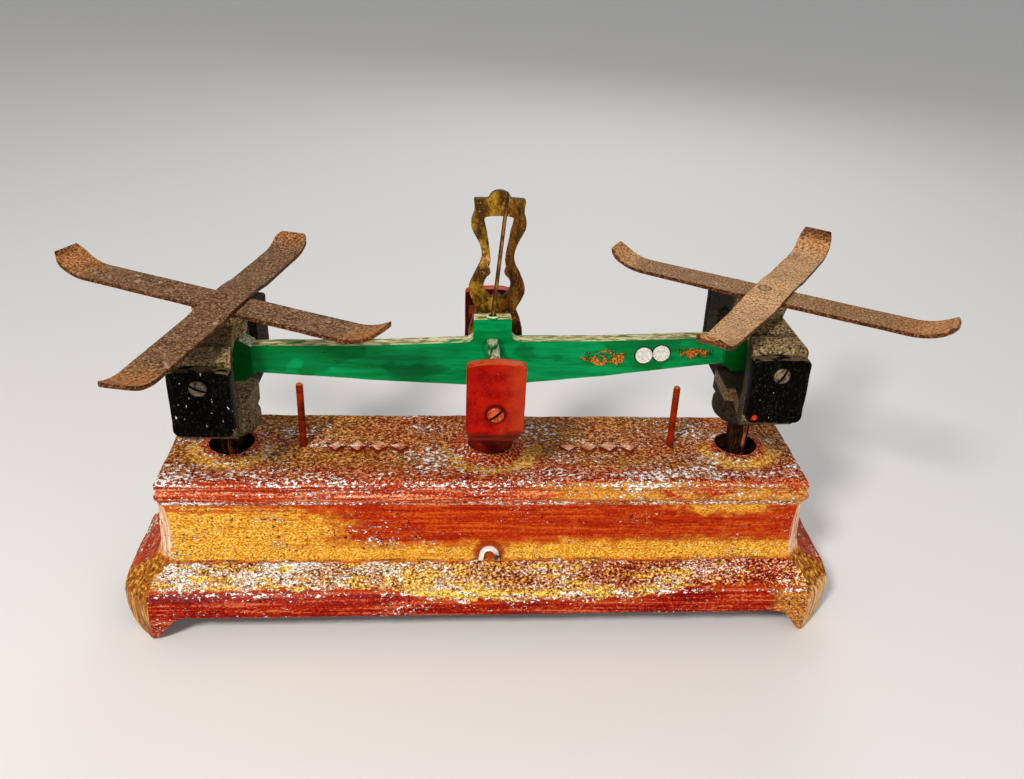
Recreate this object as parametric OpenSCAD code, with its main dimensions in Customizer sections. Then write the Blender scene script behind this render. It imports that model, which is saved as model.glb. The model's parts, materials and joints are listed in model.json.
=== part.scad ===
// Counter balance with an equal-arm beam, two upright carriers and a hidden stay.
// Millimetres, +X to the right, +Y away from the front, +Z up.
// The origin is the centre of the four feet, on the counter.

/* [Base] */
// Length of the base's box between its end faces
base_len = 369; // [362:1:376]
// Depth of the base's box between its front and back faces
base_depth = 69; // [66:1:74]
// Height of the base's top face
base_top = 101.3; // [98:0.1:104]
// How far the plinth flares out beyond the box's end faces
end_flare = 22.5; // [20:0.5:25]
// How far the plinth flares out beyond the box's front and back faces
front_flare = 17; // [15:0.5:19]
// Thickness of the base's side walls
wall = 7; // [5:0.5:8]
// Diameter of the two holes that the stems pass through
stem_hole_d = 25; // [24:0.5:28]

/* [Beam] */
// Distance from the centre knife to each end knife
arm = 147; // [144:1:150]
// Height of the three knife edges when the beam is level
knife_z = 162; // [160:0.5:165]
// Thickness of the green bar
beam_t = 7.8; // [6:0.2:9]
// Angle by which the right side is up at rest
rest_tilt = 2; // [-5:0.1:5]
// Lean of the bent pointer towards the right, from the beam's upright
pointer_lean = 6.8; // [0:0.1:8]

/* [Carriers] */
// Width of the cover plates
cover_w = 30.4; // [28:0.2:32]
// Width of the flat iron bars
bar_w = 20; // [16:1:24]
// Thickness of the flat iron bars
bar_t = 2.2; // [2:0.1:3]
// Thickness of the square stems
stem_w = 10; // [8:0.5:10]

/* [Hidden] */

$fn = 48;
gap = 0.05;            // fit between pieces that don't move on each other
run = 0.06;            // radial clearance of a running pin
loose = 0.3;           // radial clearance of the stay's open end pivots
edge_gap = 0.12;       // between a knife edge and the bottom of its groove
beyond = 1;            // how far a cutter runs past the face it cuts

half_len = base_len / 2;
half_depth = base_depth / 2;
top_t = 8;             // thickness of the base's top
ceiling = base_top - top_t;
crease = 46.2;         // where the plinth's cove begins
skirt = 19;            // lower edge of the plinth between the feet
end_lean = 5;          // how far the top's ends stand in behind the end walls
end_rise = 7;          // how much higher the plinth's band reaches at the ends
boss_h = 3;            // mounds on the top, around the pillar, the stems and the stop pins
boss_top = base_top + boss_h;
rim_h = 2.4;
pin_boss_h = 0.8;
hole_r = stem_hole_d / 2;
lozenge = 10;          // length of a raised lozenge on the base's top
lozenge_h = 1.5;

knife_w = 6.5;
knife_edge_h = 6.1;    // height of the tapered part of a knife
knife_h = 11;
knife_reach = 43.4;    // from the beam's middle to a knife's end
side_in = 31;          // inner face of a fork arm or a carrier leg
side_out = 44;         // outer face, which a cover lies on
cover_t = 6.7;
block_w = 16;          // width of a bearing block
groove_angle = 48;     // from upright to each side of a bearing's groove

stop_x = 107;
stop_r = 2;
stop_top = 142.5;
shank_r = 8;           // the pillar's shank, below the base's top
shank_low = 44;
collar_r = 13;
washer_t = 3;
nut_h = 9;
stay_z = 58;           // height of the stay's pivot
stay_t = 6;
stay_h = 12;
pin_r = 2.5;
slot_w = 6.8;          // slot for the stay in the pillar and in the stems
clevis_w = 15;
eye_r = 9;             // the stay's round eyes
socket_deep = 19;      // depth of the square socket in a carrier's boss
screw_r = 1.9;         // cover screws
screw_deep = 9;        // depth of a cover screw's hole in the casting
head_r = 4.5;
head_h = 2.2;
driver_slot = 1.1;     // width and depth of a screw's slot

seal_r = 4.75;         // lead discs let into the beam's front face
seal_depth = 3;
seal_spots = [[84.5, 161.1], [94.3, 162.1]];
hub_top = 184.9;       // top of the beam's middle, where the pointer stands
pointer_y = -1.2;
collar_h = 1.4;        // the pointer's collar, the floor of its recess and its spigot in the beam
collar_floor = 0.4;
spigot_r = 1.2;
spigot_h = 5;

lyre_y = 14;
lyre_t = 4;
lyre_x = 1.7;          // the frame stands a little to the right
lyre_foot = 25;        // width of the frame's foot
lyre_foot_t = 3.2;
lyre_screw_r = 1.6;
lyre_foot_depth = 11;
lyre_screw_y = 19.4;
lyre_screw_deep = 6;
fork_seat = 126;       // inside bottom of the fork
fork_top = 172;
neck_top = 195.2;      // where the cross sits on a carrier
boss_low = 119;        // underside of a carrier's boss
cover_top = 181;
cover_low = 143.3;
pillar_cover_top = 182.1;
pillar_cover_low = 139.7;
carrier_screw_z = 172;
pillar_screw_z = 152.8;
pillar_block = [155.2, 166];     // lower and upper face of a pillar bearing
carrier_block = [158.4, 167.6];  // the same on a carrier
carrier_pocket_low = 149.4;      // the knife has room below its bearing
cross_pin_r = 1.5;
cross_pin_z = 130;
rivet_r = 3;
rivet_deep = 12;
joggle = 1.2;          // how far an upper bar drops beside the lower one

// The crosses sit a little off the carriers' middles
left_rivet_x = 2.2;
right_rivet_x = 1.5;
// Bars of each cross: angle in plan, how far the bar's middle line passes beside the rivet, reach
// to its first end and to its second end, the heights that these two ends rise, and how much
// narrower the bar is at its first end
left_lower = [-26.5, -1, 105, 101, 11, 7.5, 0];
left_upper = [76.5, -4.6, 108, 90, 6, 7, 1.5];
right_lower = [-31.5, -0.8, 91, 101, 9, 8, 2];
right_upper = [55.5, -4.4, 95, 88, 9.5, 13.5, 4.8];
bend_len = 22;         // length in plan of a bar's bent end
taper_start = 20;      // distance from the rivet at which a bar begins to narrow
tip_r = 7;             // rounding of a bar's corners

LEFT = -1;
RIGHT = 1;

// ---- helpers ----

// Points on an arc of radius r about (cx, cy) from angle a to angle b
function arc(cx, cy, r, a, b, n = 8) =
    [for (i = [0:n]) let (t = a + (b - a) * i / n) [cx + r * cos(t), cy + r * sin(t)]];

// Points reflected in the vertical axis, in reverse order
function mirrored(p) = [for (i = [len(p) - 1:-1:0]) [-p[i][0], p[i][1]]];

// A symmetric outline from the points of its right half
function both_halves(p) = concat(p, mirrored(p));

// Smooth curve through the points p, n steps to a span
function spline_point(a, b, c, d, t) =
    0.5 * (2 * b + (c - a) * t + (2 * a - 5 * b + 4 * c - d) * t * t
    + (3 * b - 3 * c + d - a) * t * t * t);
function spline(p, n = 6) = concat(
    [for (i = [0:len(p) - 2], k = [0:n - 1])
        spline_point(p[max(i - 1, 0)], p[i], p[i + 1], p[min(i + 2, len(p) - 1)], k / n)],
    [p[len(p) - 1]]);

// An outline in X and Z, swept along Y from y0 to y1
module along_y(y0, y1) {
    translate([0, y1, 0]) rotate([90, 0, 0]) linear_extrude(y1 - y0) children();
}

// An outline in Y and Z, swept along X from x0 to x1
module along_x(x0, x1) {
    translate([x0, 0, 0]) rotate([90, 0, 90]) linear_extrude(x1 - x0) children();
}

// A round bar along Y
module pin_y(r, y0, y1) {
    translate([0, y1, 0]) rotate([90, 0, 0]) cylinder(r = r, h = y1 - y0);
}

// The beam's own place: the level beam turned about the centre knife
module on_beam() {
    translate([0, 0, knife_z]) rotate([0, -rest_tilt, 0]) translate([0, 0, -knife_z]) children();
}

// A carrier's own place: it stays upright while its knife moves
module on_carrier(side) {
    translate([side * arm * cos(rest_tilt), 0, side * arm * sin(rest_tilt)]) children();
}

// A cross's own place, about its rivet
module on_cross(side) {
    on_carrier(side) translate([side < 0 ? left_rivet_x : right_rivet_x, 0, 0]) children();
}

// The stay turns with the beam
module on_stay() {
    translate([0, 0, stay_z]) rotate([0, -rest_tilt, 0]) children();
}

// ---- base ----

// How far the outside stands beyond the box, from the top down to the plinth's widest line.
// lean is how far the top and its moulding stand in, rise how much higher the cove lies
function outer_flare(flare, lean, rise) = concat(
    arc(-1 - lean, base_top - 3, 3, 90, 0),
    [[2 - lean, base_top - 6], [0.8 - lean, base_top - 7]],
    arc(0.2 - lean, base_top - 10.4, 2.9, 65, -65),
    [[1.2 - lean, base_top - 14.6], [-0.5 * lean, base_top - 17.4], [0, crease + 20],
    [0, crease + rise + 0.6], [1.2, crease + rise]],
    [for (t = [6:6:66]) [1.2 + 0.78 * flare * (1 - cos(t)), crease + rise - 14.4 * sin(t)]],
    [[0.77 * flare, 29 + rise], [0.95 * flare, 27 + rise], [flare, 22 + rise]]);

// The lower end of a foot; inset is from the plinth's outer face to the middle of the foot's tip.
// Each point gives how far it lies inside that face, and its height.
function foot_edge(inset) = concat(
    [for (t = [0:15:90]) [(inset - 3) * (1 - cos(t)), 21.9 * (1 - sin(t))]],
    [[inset + 3, 0], [inset + 5.5, 1.2], [inset + 9, 5], [inset + 13.5, 11.5],
    [inset + 18, 17], [inset + 23.5, skirt]]);

// Half of the base's outline across a side of half length h, feet included
function base_half(h, flare, lean, rise, inset) = concat(
    [[0, base_top]],
    [for (p = outer_flare(flare, lean, rise)) [h + p[0], p[1]]],
    [for (p = foot_edge(inset)) [h + flare - p[0], p[1]]],
    [[0, skirt]]);

// The corners' cut, measured along the diagonal from the box's corner
corner_cut = [
    [-60, base_top + beyond], [-0.2, base_top + beyond], [-0.2, base_top - 14],
    [-4.6, base_top - 17], [-5.6, 66], [-5.2, 56], [-3.7, crease], [1.8, 40], [8.8, 34],
    [13.8, 29], [15.3, 25], [15.3, 17], [14.6, 6], [13, -beyond], [-60, -beyond]];

// The hollow's corners are cut further in, so that the feet are solid
hollow_corner_cut = [
    [-60, base_top], [-17, base_top], [-17, 52], [-6, 34], [-1, skirt], [-1, -beyond],
    [-60, -beyond]];

// A slab across one diagonal, with the corner cut at both of its ends
module corner_prism(cut) {
    shift = (half_len + half_depth) / sqrt(2);
    half = [for (p = cut) [p[0] + shift, p[1]]];
    rotate([0, 0, 45]) along_y(-base_len, base_len) polygon(both_halves(half));
}

// What both diagonals leave of their children
module cut_corners(cut) {
    intersection() {
        children();
        corner_prism(cut);
        mirror([1, 0, 0]) corner_prism(cut);
    }
}

module base_outside() {
    reach = half_len + 40;
    cut_corners(corner_cut) {
        intersection() {
            along_y(-reach, reach)
                polygon(both_halves(base_half(half_len, end_flare, end_lean, end_rise, 12.5)));
            along_x(-reach, reach)
                polygon(both_halves(base_half(half_depth, front_flare, 0, 0, 8.5)));
        }
    }
}

// Half of the hollow's outline across a side of half length h
function hollow_half(h, flare) = [
    [0, ceiling], [h - wall - 2, ceiling], [h - wall, ceiling - 2], [h - wall, crease - 3],
    [h - wall + 3, 36], [h + flare - wall - 4, 26], [h + flare - wall - 4.5, -beyond],
    [0, -beyond]];

module base_hollow() {
    cut_corners(hollow_corner_cut) {
        intersection() {
            along_y(-base_len, base_len) polygon(both_halves(hollow_half(half_len, end_flare)));
            along_x(-base_len, base_len) polygon(both_halves(hollow_half(half_depth, front_flare)));
        }
    }
}

// Raised lozenges in two rows on the top
module lozenges() {
    for (x = [-88, -76, -64, -52, 46, 58, 70, 82])
        translate([x, -2, base_top - beyond]) linear_extrude(beyond + lozenge_h)
            rotate(45) square(lozenge / sqrt(2), center = true);
}

// A small plain arch on the front, where the cove begins
module front_arch() {
    spring = crease + 4.2;
    along_y(-half_depth - 2.4, -half_depth + beyond) difference() {
        polygon(both_halves(concat([[6.4, crease]], arc(0, spring, 5.8, 0, 90, 6))));
        polygon(both_halves(concat([[3.4, crease - beyond]], arc(0, spring, 2.8, 0, 90, 5))));
    }
}

// A soft mound on the top, h high and flat out to the radius r
module mound(r, h) {
    rotate_extrude() polygon(concat([[0, ceiling], [1.55 * r, ceiling]],
        [for (t = [1:-0.125:0]) [r * (1 + 0.55 * t), base_top + h * (1 + cos(180 * t)) / 2]],
        [[0, base_top + h]]));
}

module base_casting() {
    through = top_t + boss_h + 2 * beyond;
    color("firebrick") difference() {
        union() {
            base_outside();
            mound(collar_r + 1, boss_h);
            for (side = [LEFT, RIGHT]) {
                translate([side * arm, 0, 0]) mound(hole_r + 2, rim_h);
                translate([side * stop_x, 0, 0]) mound(stop_r + 1.2, pin_boss_h);
            }
            lozenges();
            front_arch();
        }
        base_hollow();
        translate([0, 0, ceiling - beyond]) cylinder(r = shank_r + gap, h = through);
        for (side = [LEFT, RIGHT]) {
            translate([side * arm, 0, ceiling - beyond]) cylinder(r = hole_r, h = through);
            translate([side * stop_x, 0, ceiling - beyond]) cylinder(r = stop_r + gap, h = through);
        }
    }
}

// An upright pin, pressed into the base, that stops the beam
module stop_pin(side) {
    color("brown") translate([side * stop_x, 0, 0]) rotate_extrude() polygon(concat(
        [[0, ceiling - 2], [stop_r, ceiling - 2], [stop_r, stop_top - stop_r]],
        arc(0, stop_top - stop_r, stop_r, 15, 90, 6)));
}

module left_stop_pin() { stop_pin(LEFT); }
module right_stop_pin() { stop_pin(RIGHT); }

// ---- pillar ----

function fork_half() = concat(
    [[0, 113], [10, 113]],
    arc(16, 113, 6, 180, 115, 5),
    [[38, 129], [42.5, 133], [side_out, 137], [side_out, fork_top], [side_in, fork_top],
    [side_in, 136]],
    arc(side_in - 8, fork_seat + 8, 8, 0, -90, 6),
    [[0, fork_seat]]);

// Cutter for the bearings' pockets at the front and the rear
module bearing_pocket(low, high) {
    translate([-block_w / 2 - gap, -side_out - beyond, low])
        cube([block_w + 2 * gap, 2 * (side_out + beyond), high - low]);
}

module central_pillar() {
    color("darkred") difference() {
        union() {
            along_x(-cover_w / 2 + 2, cover_w / 2 - 2) polygon(both_halves(fork_half()));
            rotate_extrude() polygon(concat(
                [[0, shank_low], [shank_r, shank_low], [shank_r, boss_top], [collar_r, boss_top],
                [collar_r, boss_top + 3]],
                arc(collar_r + 3, boss_top + 8, 4.6, 230, 180, 4),
                [[11.4, 118], [0, 118]]));
        }
        bearing_pocket(pillar_block[0], fork_top + beyond);
        cover_screw_holes(pillar_screw_z);
        translate([-shank_r - beyond, -slot_w / 2, shank_low - beyond])
            cube([2 * (shank_r + beyond), slot_w, 2 * (stay_z - shank_low) + beyond]);
        translate([0, 0, stay_z]) pin_y(pin_r + gap, -shank_r - beyond, shank_r + beyond);
        translate([lyre_x, 0, fork_seat - lyre_screw_deep])
            lyre_screw_places(lyre_screw_r + gap, lyre_screw_deep + beyond);
    }
}

module pillar_washer() {
    color("dimgray") translate([0, 0, ceiling - washer_t]) difference() {
        cylinder(r = 15, h = washer_t);
        translate([0, 0, -beyond]) cylinder(r = shank_r + gap, h = washer_t + 2 * beyond);
    }
}

module pillar_nut() {
    color("dimgray") translate([0, 0, ceiling - washer_t - nut_h]) difference() {
        cylinder(r = 13, h = nut_h, $fn = 6);
        translate([0, 0, -beyond]) cylinder(r = shank_r + gap, h = nut_h + 2 * beyond);
    }
}

// A hardened block between the heights in block, with a groove that opens upwards or downwards
module bearing_block(block, upwards) {
    apex = upwards ? knife_z - edge_gap : knife_z + edge_gap;
    mouth = upwards ? block[1] + beyond : block[0] - beyond;
    spread = abs(mouth - apex) * tan(groove_angle);
    color("slategray") along_y(side_in, side_out) difference() {
        translate([-block_w / 2, block[0]]) square([block_w, block[1] - block[0]]);
        polygon([[0, apex], [spread, mouth], [-spread, mouth]]);
    }
}

module rear_pillar_bearing() { bearing_block(pillar_block, true); }
module front_pillar_bearing() { mirror([0, 1, 0]) rear_pillar_bearing(); }

// A cover plate between two heights, with rounded corners and a slightly arched top edge
module cover_plate(low, high, screw_z, arch, tint) {
    half = cover_w / 2;
    upper = 2;
    lower = 4;
    color(tint) along_y(side_out, side_out + cover_t) difference() {
        polygon(both_halves(concat(
            [for (i = [1:5]) [(half - upper) * i / 6, high - arch * pow(i / 6, 2)]],
            arc(half - upper, high - arch - upper, upper, 90, 0, 4),
            arc(half - lower, low + lower, lower, 0, -90, 6))));
        translate([0, screw_z]) circle(r = screw_r + gap);
    }
}

module rear_pillar_cover() {
    cover_plate(pillar_cover_low, pillar_cover_top, pillar_screw_z, 1.6, "orangered");
}
module front_pillar_cover() { mirror([0, 1, 0]) rear_pillar_cover(); }

// Cutter for the two cover screws' holes in a casting
module cover_screw_holes(z) {
    translate([0, 0, z]) {
        pin_y(screw_r + gap, side_out - screw_deep, side_out + beyond);
        pin_y(screw_r + gap, -side_out - beyond, -side_out + screw_deep);
    }
}

// A slotted round-head screw through the rear cover; turn is the slot's angle
module slotted_screw(turn) {
    shank = cover_t + screw_deep - 2;
    rim = 0.7;
    color("gray") translate([0, side_out + cover_t, 0]) rotate([-90, 0, 0]) difference() {
        union() {
            translate([0, 0, -shank]) cylinder(r = screw_r, h = shank);
            rotate_extrude() polygon(concat([[0, 0], [head_r, 0]],
                [for (t = [0:15:90]) [head_r * cos(t), rim + (head_h - rim) * sin(t)]]));
        }
        rotate([0, 0, turn]) translate([-head_r - beyond, -driver_slot / 2, head_h - driver_slot])
            cube([2 * (head_r + beyond), driver_slot, driver_slot + beyond]);
    }
}

module screw_pair(z, turn) {
    translate([0, 0, z]) {
        slotted_screw(turn);
        mirror([0, 1, 0]) slotted_screw(turn);
    }
}

module pillar_cover_screws() { screw_pair(pillar_screw_z, 140); }

// Outer edge of the lyre, right half, from the foot up to the crest
function lyre_outer() = concat(
    spline([[12, 129], [13.6, 148], [15.2, 168], [13.2, 177.5], [11.1, 183.8], [13.5, 188.5],
        [15.5, 195.5], [13.4, 202.8], [10.1, 209.6], [8.9, 216], [10.8, 223], [14.4, 230.5],
        [14.8, 235.5], [13.5, 240], [13.9, 246.4]], 5),
    [[13.2, 247.2]],
    spline([[6.2, 247.4], [4.6, 249.8], [2.4, 251.3], [0, 251.7]], 3));

// Edge of the lyre's window, right half: a round part with a hump, a pair of cusps and a wedge
function lyre_window() = concat(
    spline([[0, 192.6], [1.7, 191.9], [3.3, 190.4]], 3),
    arc(0, 198, 7.4, -56, 52, 12),
    spline([[3.6, 205.6], [4.6, 208.6], [3.9, 212], [4.7, 219], [6.2, 228], [7.7, 234.4],
        [6.8, 237.2], [0, 237.8]], 4));

// The opening between the lyre's legs, right half
function lyre_legs_gap() = concat([[9, fork_seat], [10.5, 166]], arc(0, 169, 8.4, 0, 90, 8));

// A pair of upright rounds where the frame's foot is screwed down
module lyre_screw_places(r, h) {
    for (x = [-7, 7]) translate([x, lyre_screw_y, 0]) cylinder(r = r, h = h);
}

module pointer_frame() {
    front = lyre_y - lyre_t / 2;
    color("goldenrod") translate([lyre_x, 0, 0]) difference() {
        union() {
            along_y(front, front + lyre_t) difference() {
                polygon(both_halves(lyre_outer()));
                polygon(both_halves(lyre_window()));
                polygon(both_halves(lyre_legs_gap()));
            }
            translate([-lyre_foot / 2, front, fork_seat])
                cube([lyre_foot, lyre_foot_depth, lyre_foot_t]);
        }
        translate([0, 0, fork_seat - beyond])
            lyre_screw_places(lyre_screw_r + gap, lyre_foot_t + 2 * beyond);
    }
}

module pointer_frame_screws() {
    shank = lyre_screw_deep + lyre_foot_t;
    head = 1.8;
    color("gray") translate([lyre_x, 0, fork_seat - lyre_screw_deep]) difference() {
        union() {
            lyre_screw_places(lyre_screw_r, shank);
            translate([0, 0, shank]) lyre_screw_places(2 * lyre_screw_r, head);
        }
        translate([-lyre_foot / 2, lyre_screw_y - 0.4, shank + head / 2]) cube([lyre_foot, 0.8, head]);
    }
}

module stay_pivot_pin() {
    color("silver") translate([0, 0, stay_z]) pin_y(pin_r, -shank_r - 1.5, shank_r + 1.5);
}

// ---- beam ----

// Half of the beam's outline between the two ends
function beam_half() = concat(
    [[0, 143.6], [60, 148.3], [stop_x, 153.2], [arm - 17, 155.3], [arm - 17, 171.5], [60, 170.5],
    [16.5, 171.3]],
    arc(14.6, 175.7, 4.2, -75, -180, 5),
    arc(9.2, hub_top - 1.2, 1.2, 0, 90, 3),
    [[0, hub_top]]);

// The octagonal end around an end knife
module beam_end() {
    polygon([[-17.5, -6.6], [-12, -11], [10, -11], [14, -6], [14, 8], [10, 13.6], [-11, 13.6],
        [-17.5, 9.5]]);
}

function knife_outline() = concat(
    [[0, 0], [knife_w / 2, knife_edge_h], [knife_w / 2, knife_h - 1.8]],
    arc(knife_w / 2 - 1.8, knife_h - 1.8, 1.8, 0, 90, 5),
    arc(1.8 - knife_w / 2, knife_h - 1.8, 1.8, 90, 180, 5),
    [[-knife_w / 2, knife_edge_h]]);

// The centre knife stands on its edge; the end knives carry on theirs
module knife_section(upwards) {
    translate([0, knife_z]) mirror([0, upwards ? 1 : 0]) polygon(knife_outline());
}

module beam_casting() {
    end_t = beam_t + 3.4;
    color("seagreen") on_beam() difference() {
        union() {
            along_y(-beam_t / 2, beam_t / 2) polygon(both_halves(beam_half()));
            for (side = [LEFT, RIGHT])
                along_y(-end_t / 2, end_t / 2)
                    translate([side * arm, knife_z]) mirror([side < 0 ? 1 : 0, 0]) beam_end();
        }
        along_y(-end_t, end_t) knife_section(false);
        for (side = [LEFT, RIGHT])
            along_y(-end_t, end_t) translate([side * arm, 0]) knife_section(true);
        seal_places(seal_r + gap, beyond);
        translate([0, pointer_y, hub_top - spigot_h - gap])
            cylinder(r = spigot_r + gap, h = spigot_h + beyond);
    }
}

// Round places in the beam's front face, reaching out beyond it by out
module seal_places(r, out) {
    for (p = seal_spots) translate([p[0], 0, p[1]])
        pin_y(r, -beam_t / 2 - out, -beam_t / 2 + seal_depth);
}

module seal_plugs() { color("white") on_beam() seal_places(seal_r, 0.4); }

module centre_knife() {
    color("darkseagreen") on_beam() along_y(-knife_reach, knife_reach) knife_section(false);
}

module end_knife(side) {
    color("slategray") on_beam() along_y(-knife_reach, knife_reach)
        translate([side * arm, 0]) knife_section(true);
}

module left_knife() { end_knife(LEFT); }
module right_knife() { end_knife(RIGHT); }

// A wire needle with a tapered tip, leaning towards the right
module pointer() {
    stand_off = 0.15;
    color("saddlebrown") on_beam() translate([0, pointer_y, hub_top + collar_floor + stand_off])
        rotate([0, pointer_lean, 0]) rotate_extrude() polygon(
            [[0, 0], [1.15, 0], [1.05, 52], [0.9, 66], [0.35, 70.1], [0, 70.4]]);
}

// The low ring around the pointer's foot on top of the beam
module pointer_collar() {
    color("seagreen") on_beam() translate([0, pointer_y, hub_top]) rotate_extrude() polygon(
        [[0, -spigot_h], [spigot_r, -spigot_h], [spigot_r, 0], [3.6, 0], [3.6, 0.8], [3.1, collar_h],
        [2.3, collar_h], [1.9, collar_floor], [0, collar_floor]]);
}

// ---- carriers, drawn with the end knife at x = 0 ----

// Outline of the ring around the beam's end, right half in Y and Z
function yoke_ring() = [
    [0, neck_top], [8.5, neck_top], [9, 190.5], [12, 187.4], [41.5, 183.6], [side_out, 182],
    [side_out, 141], [40, 136], [22, 131], [0, 130]];

function yoke_window() = [
    [0, 178], [24, 178], [side_in, 172], [side_in, 149], [27, 144], [0, 144]];

// Half of the ring's plan: narrower in the middle, as wide as the covers at the legs
function yoke_plan() = concat(
    [[10, 0]],
    [for (t = [0:0.125:1]) [10 + 5 * pow(t, 1.3), 10 + 33 * t]],
    [[15, side_out]]);

module yoke_body(rivet_x) {
    plan = yoke_plan();
    intersection() {
        along_x(-20, 20) difference() {
            polygon(both_halves(yoke_ring()));
            polygon(both_halves(yoke_window()));
        }
        translate([0, 0, 100]) linear_extrude(120) polygon(concat(
            plan, mirrored(plan), [for (p = plan) [-p[0], -p[1]]],
            [for (i = [len(plan) - 1:-1:0]) [plan[i][0], -plan[i][1]]]));
    }
    translate([-15, -13, 130]) cube([30, 26, 14]);
    rotate_extrude() polygon(concat(
        [[0, boss_low], [10, boss_low]], arc(12, boss_low + 5.5, 5.5, -90, 0, 5),
        [[17.4, 128], [15.5, 132], [0, 132]]));
    // Round neck under the cross, around its rivet
    translate([rivet_x, 0, 0]) rotate_extrude() polygon([[0, 179], [12, 179], [12.6, 184],
        [13.4, 187.5], [15, neck_top - 1.5], [14, neck_top], [0, neck_top]]);
}

module yoke(rivet_x) {
    socket = stem_w + 2 * gap;
    color("darkkhaki") difference() {
        yoke_body(rivet_x);
        bearing_pocket(carrier_pocket_low, carrier_block[1]);
        cover_screw_holes(carrier_screw_z);
        translate([-socket / 2, -socket / 2, boss_low - beyond])
            cube([socket, socket, socket_deep + gap + beyond]);
        translate([0, 0, cross_pin_z]) pin_y(cross_pin_r + gap, -20, 20);
        translate([rivet_x, 0, neck_top - rivet_deep - gap])
            cylinder(r = rivet_r + gap, h = rivet_deep + gap + beyond);
    }
}

// Square bar with a forked lower end for the stay
module stem() {
    low = stay_z - eye_r;
    fork_h = 24;
    color("saddlebrown") difference() {
        union() {
            translate([-stem_w / 2, -stem_w / 2, low + fork_h - beyond])
                cube([stem_w, stem_w, boss_low + socket_deep - low - fork_h + beyond]);
            translate([-clevis_w / 2, -clevis_w / 2, low]) cube([clevis_w, clevis_w, fork_h]);
        }
        translate([-clevis_w, -slot_w / 2, low - beyond])
            cube([2 * clevis_w, slot_w, 2 * eye_r + 2 * beyond]);
        translate([0, 0, stay_z]) pin_y(pin_r + gap, -clevis_w, clevis_w);
        translate([0, 0, cross_pin_z]) pin_y(cross_pin_r + gap, -20, 20);
    }
}

module stem_cross_pin() {
    color("gray") translate([0, 0, cross_pin_z]) pin_y(cross_pin_r, -14, 14);
}

module link_pin() {
    reach = clevis_w / 2 + 1;
    color("gray") translate([0, 0, stay_z]) pin_y(pin_r, -reach, reach);
}

module carrier_bearing() { bearing_block(carrier_block, false); }
module carrier_cover() { cover_plate(cover_low, cover_top, carrier_screw_z, 1, "black"); }

// Side view of a bar's edge from the rivet to one end, at the height up above its underside
function bar_edge(reach, rise, step, up) =
    let (turn = 2 * atan(rise / bend_len), bend_r = bend_len / sin(turn), flat = reach - bend_len)
    concat([[0, up]], step > 0 ? [[15, up], [26, up - step]] : [],
        [for (i = [0:8]) let (t = turn * i / 8)
            [flat + (bend_r - up) * sin(t), bend_r - (bend_r - up) * cos(t) - step]]);

function reversed(p) = [for (i = [len(p) - 1:-1:0]) p[i]];

// Side view of one half of a bar
function bar_side(reach, rise, step) =
    concat(bar_edge(reach, rise, step, 0), reversed(bar_edge(reach, rise, step, bar_t)));

// One flat bar: straight in the middle, with both ends curved upwards; step is how far it drops
// on both sides of the bar that it crosses
module cross_bar(bar, seat, step) {
    first = bar[2];
    second = bar[3];
    half = bar_w / 2;
    color("rosybrown") translate([0, 0, seat]) difference() {
        rotate([0, 0, bar[0]]) translate([0, bar[1], 0]) intersection() {
            union() {
                along_y(-half, half) polygon(bar_side(second, bar[5], step));
                mirror([1, 0, 0]) along_y(-half, half) polygon(bar_side(first, bar[4], step));
            }
            translate([0, 0, -20]) linear_extrude(60) offset(r = tip_r) offset(delta = -tip_r)
                polygon([[-first, half], [second, half], [second, -half],
                    [-taper_start, -half], [-first, bar[6] - half]]);
        }
        translate([0, 0, -beyond]) cylinder(r = rivet_r + gap, h = bar_t + 2 * beyond);
    }
}

// The rivet that holds both bars; its head is ground flush
module cross_rivet() {
    sunk = 0.1;
    color("sienna") translate([0, 0, neck_top - rivet_deep])
        cylinder(r = rivet_r, h = rivet_deep + 2 * bar_t - sunk);
}

// ---- the two carriers' nodes ----

module left_yoke() { on_carrier(LEFT) yoke(left_rivet_x); }
module left_stem() { on_carrier(LEFT) stem(); }
module left_stem_cross_pin() { on_carrier(LEFT) stem_cross_pin(); }
module left_front_bearing() { on_carrier(LEFT) mirror([0, 1, 0]) carrier_bearing(); }
module left_rear_bearing() { on_carrier(LEFT) carrier_bearing(); }
module left_front_cover() { on_carrier(LEFT) mirror([0, 1, 0]) carrier_cover(); }
module left_rear_cover() { on_carrier(LEFT) carrier_cover(); }
module left_cover_screws() { on_carrier(LEFT) screw_pair(carrier_screw_z, 25); }
module left_lower_bar() { on_cross(LEFT) cross_bar(left_lower, neck_top, 0); }
module left_upper_bar() { on_cross(LEFT) cross_bar(left_upper, neck_top + bar_t, joggle); }
module left_cross_rivet() { on_cross(LEFT) cross_rivet(); }
module left_link_pin() { on_carrier(LEFT) link_pin(); }
module right_yoke() { on_carrier(RIGHT) yoke(right_rivet_x); }
module right_stem() { on_carrier(RIGHT) stem(); }
module right_stem_cross_pin() { on_carrier(RIGHT) stem_cross_pin(); }
module right_front_bearing() { on_carrier(RIGHT) mirror([0, 1, 0]) carrier_bearing(); }
module right_rear_bearing() { on_carrier(RIGHT) carrier_bearing(); }
module right_front_cover() { on_carrier(RIGHT) mirror([0, 1, 0]) carrier_cover(); }
module right_rear_cover() { on_carrier(RIGHT) carrier_cover(); }
module right_cover_screws() { on_carrier(RIGHT) screw_pair(carrier_screw_z, 120); }
module right_lower_bar() { on_cross(RIGHT) cross_bar(right_lower, neck_top, 0); }
module right_upper_bar() { on_cross(RIGHT) cross_bar(right_upper, neck_top + bar_t, joggle); }
module right_cross_rivet() { on_cross(RIGHT) cross_rivet(); }
module right_link_pin() { on_carrier(RIGHT) link_pin(); }

// ---- stay ----

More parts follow.
